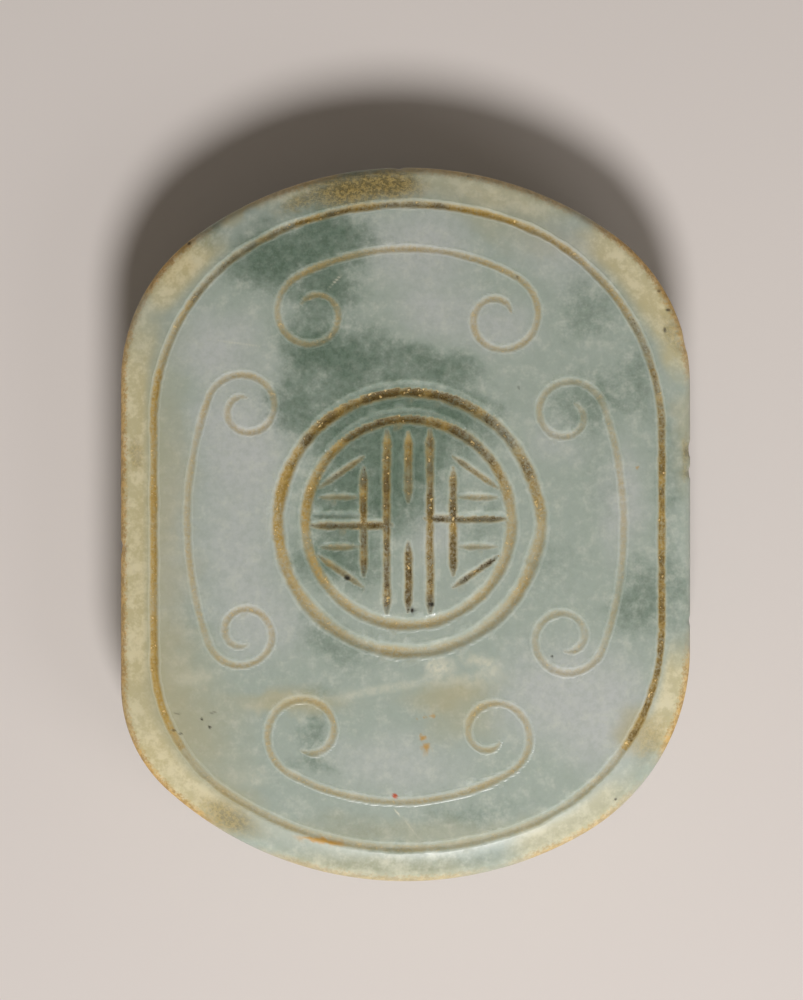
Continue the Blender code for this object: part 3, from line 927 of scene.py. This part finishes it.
# The body of the stone: greenish grey with lavender drifts and green clouds, finely mottled and flecked
body = laid(kept("lavender"), seen(158, 168, 158), seen(180, 183, 180))
body = laid(eased(jade_tree, mottle, 0.35, 0.70, 0.0, 0.30), body, seen(146, 154, 145))
body = laid(eased(jade_tree, feather, 0.45, 0.80, 0.0, 0.55), body, seen(192, 195, 183))
feathered = sums(jade_tree, "MULTIPLY_ADD", feather, -0.9, kept("green"))
green_shade = laid(eased(jade_tree, mottle, 0.25, 0.75), seen(108, 126, 111), seen(86, 104, 88))
body = laid(eased(jade_tree, feathered, -0.42, 0.62), body, green_shade)
body = laid(eased(jade_tree, grit, 0.60, 0.80, 0.0, 0.12), body, seen(206, 208, 196))
body = laid(kept("yellow"), body, seen(174, 160, 114))
pale_share = sums(jade_tree, "MULTIPLY", kept("pale"), eased(jade_tree, mottle, 0.30, 0.62, 0.35, 1.0))
body = laid(pale_share, body, seen(212, 208, 188))

# The rim: yellow skin over the sloping band, browner and speckled on the very lip
yellow_rim = sums(jade_tree, "MULTIPLY", skin, eased(jade_tree, kept("band"), 0.0, 0.6))
rim_shade = laid(eased(jade_tree, feather, 0.4, 0.62), seen(192, 180, 136), seen(212, 201, 164))
body = laid(yellow_rim, body, rim_shade)
lip_grit = sums(jade_tree, "MULTIPLY_ADD", grit, 0.5, 0.25)
lip_specks = sums(jade_tree, "MULTIPLY_ADD", kept("lip"), 0.42, lip_grit)
brown_lip = sums(jade_tree, "MULTIPLY", eased(jade_tree, lip_specks, 0.66, 0.88), skin)
body = laid(brown_lip, body, laid(eased(jade_tree, mottle, 0.4, 0.6), seen(212, 168, 88), seen(168, 126, 58)))
rough_shade = laid(eased(jade_tree, grit, 0.40, 0.62), seen(112, 98, 50), seen(166, 144, 82))
body = laid(rough, body, rough_shade)

# Where the stone is cut it is ground, not polished, and looks paler
ground = sums(jade_tree, "MULTIPLY", cut_away, eased(jade_tree, grit, 0.35, 0.65, 0.0, 0.17))
body = laid(ground, body, seen(182, 184, 162))

# The dirt in the cuts: ochre where thin, brown then black where thick, and bright grains as painted glints
held_here = sums(jade_tree, "MULTIPLY", dirt_held, eased(jade_tree, grit, 0.30, 0.62, 0.65, 1.25), clamp=True)
thickness = sums(jade_tree, "MULTIPLY_ADD", mottle, 0.8, dirt_dark)
dirt_shade = laid(eased(jade_tree, thickness, 0.45, 1.0), seen(174, 146, 76), seen(106, 86, 34))
body = laid(held_here, body, dirt_shade)
black_grain = sums(jade_tree, "MULTIPLY_ADD", dirt_dark, 0.36, grit)
black_grain = eased(jade_tree, black_grain, 0.75, 0.92)
black_share = sums(jade_tree, "MULTIPLY", black_grain, eased(jade_tree, dirt_dark, 0.1, 0.3))
body = laid(black_share, body, seen(62, 48, 22))
# Painted glints: bright golden grains in the dirt, where crystals in the cuts would catch the lamp
glint_share = sums(jade_tree, "MULTIPLY", eased(jade_tree, mottle, 0.62, 0.72), dirt_held)
body = laid(glint_share, body, seen(226, 200, 140))

body = laid(kept("ochre"), body, seen(178, 138, 62))
body = laid(kept("red"), body, seen(176, 70, 24))
body = laid(kept("black"), body, seen(38, 32, 20))
jade_tree.links.new(body, jade_shader.inputs["Base Color"])

# The polish: waxy on the face, frosted in the cuts, dull in the dirt and the rough places
gloss = sums(jade_tree, "MULTIPLY_ADD", mottle, 0.10, 0.19)
gloss = sums(jade_tree, "MULTIPLY_ADD", cut_away, 0.42, gloss)
gloss = sums(jade_tree, "MULTIPLY_ADD", kept("band"), 0.45, gloss)
gloss = sums(jade_tree, "MULTIPLY_ADD", rough, 0.40, gloss)
gloss = sums(jade_tree, "MINIMUM", gloss, 0.75)
jade_tree.links.new(gloss, jade_shader.inputs["Roughness"])

# Relief too fine for the mesh, in mm: the grit in the cuts and the pitted places
gritty = sums(jade_tree, "MULTIPLY_ADD", rough, 0.14, sums(jade_tree, "MULTIPLY_ADD", cut_away, 0.06, 0.004))
height = sums(jade_tree, "MULTIPLY", grit, gritty)
relief = add_node(jade_tree, "ShaderNodeBump", {"Height": height, "Distance": 0.001, "Strength": 1.0})
jade_tree.links.new(relief.outputs["Normal"], jade_shader.inputs["Normal"])

jade_shader.inputs["IOR"].default_value = 1.62
jade_shader.inputs["Specular IOR Level"].default_value = 0.45
jade_shader.inputs["Subsurface Weight"].default_value = 0.7
jade_shader.inputs["Subsurface Radius"].default_value = (1.0, 1.0, 0.8)
jade_shader.inputs["Subsurface Scale"].default_value = 0.0012

buckle.data.materials.append(jade)
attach(buckle, "root")
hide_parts("jade_buckle")


# The floor
# A sheet of pale, slightly pink paper under the buckle.

FLOOR_SIZE = 2.4
PAPER_COLOUR = (0.74, 0.685, 0.655, 1.0)

bpy.ops.mesh.primitive_plane_add(size=FLOOR_SIZE)
floor = bpy.context.object
floor.name = "paper_floor"
paper = bpy.data.materials.new("pale_paper")
paper.use_nodes = True
paper_shader = paper.node_tree.nodes["Principled BSDF"]
paper_shader.inputs["Base Color"].default_value = PAPER_COLOUR
paper_shader.inputs["Roughness"].default_value = 0.9
floor.data.materials.append(paper)


# The light
# One soft lamp shines from below the picture and a little to its right. A weaker one at the lower
# right, and the room itself, fill in the shadow.

ROOM_COLOUR = (1.0, 0.90, 0.78)
ROOM_STRENGTH = 0.15
LAMP_COLOUR = (1.0, 0.99, 0.98)


def lamp(name, turn, rise, distance, size, power):
    """A round lamp aimed at the buckle, turned from the foot of the picture towards its right side."""
    towards = Vector((sin(turn) * cos(rise), -cos(turn) * cos(rise), sin(rise)))
    bpy.ops.object.light_add(type="AREA", location=towards * distance)
    made = bpy.context.object
    made.name = name
    made.data.shape = "DISK"
    made.data.size = size
    made.data.energy = power
    made.data.color = LAMP_COLOUR
    made.rotation_mode = "QUATERNION"
    made.rotation_quaternion = towards.to_track_quat("Z", "Y")


lamp("key", turn=radians(8), rise=radians(54), distance=0.60, size=0.186, power=2.82)
lamp("fill", turn=radians(50), rise=radians(40), distance=0.36, size=0.16, power=0.13)

room = bpy.data.worlds.new("room")
room.use_nodes = True
room.node_tree.nodes["Background"].inputs["Color"].default_value = (*ROOM_COLOUR, 1.0)
room.node_tree.nodes["Background"].inputs["Strength"].default_value = ROOM_STRENGTH
bpy.context.scene.world = room
bpy.context.scene.view_settings.view_transform = "Standard"


# The camera
# It looks straight down on the face, from well above it.

PHOTO_HEIGHT = 1000
PIXELS_PER_MM = 11.17  # at the height of the rim
RIM_HEIGHT = 0.0115
PHOTO_CENTRE = (-0.00036, 0.00219)  # the place that the middle of the photograph shows
LENS = 200.0
SENSOR = 36.0

bpy.ops.object.camera_add()
camera = bpy.context.object
camera.data.lens = LENS
camera.data.sensor_width = SENSOR
camera.data.clip_start = 0.01
camera.data.clip_end = 10.0
distance = PHOTO_HEIGHT / PIXELS_PER_MM / 1000 * LENS / SENSOR
camera.location = (*PHOTO_CENTRE, RIM_HEIGHT + distance)
bpy.context.scene.camera = camera
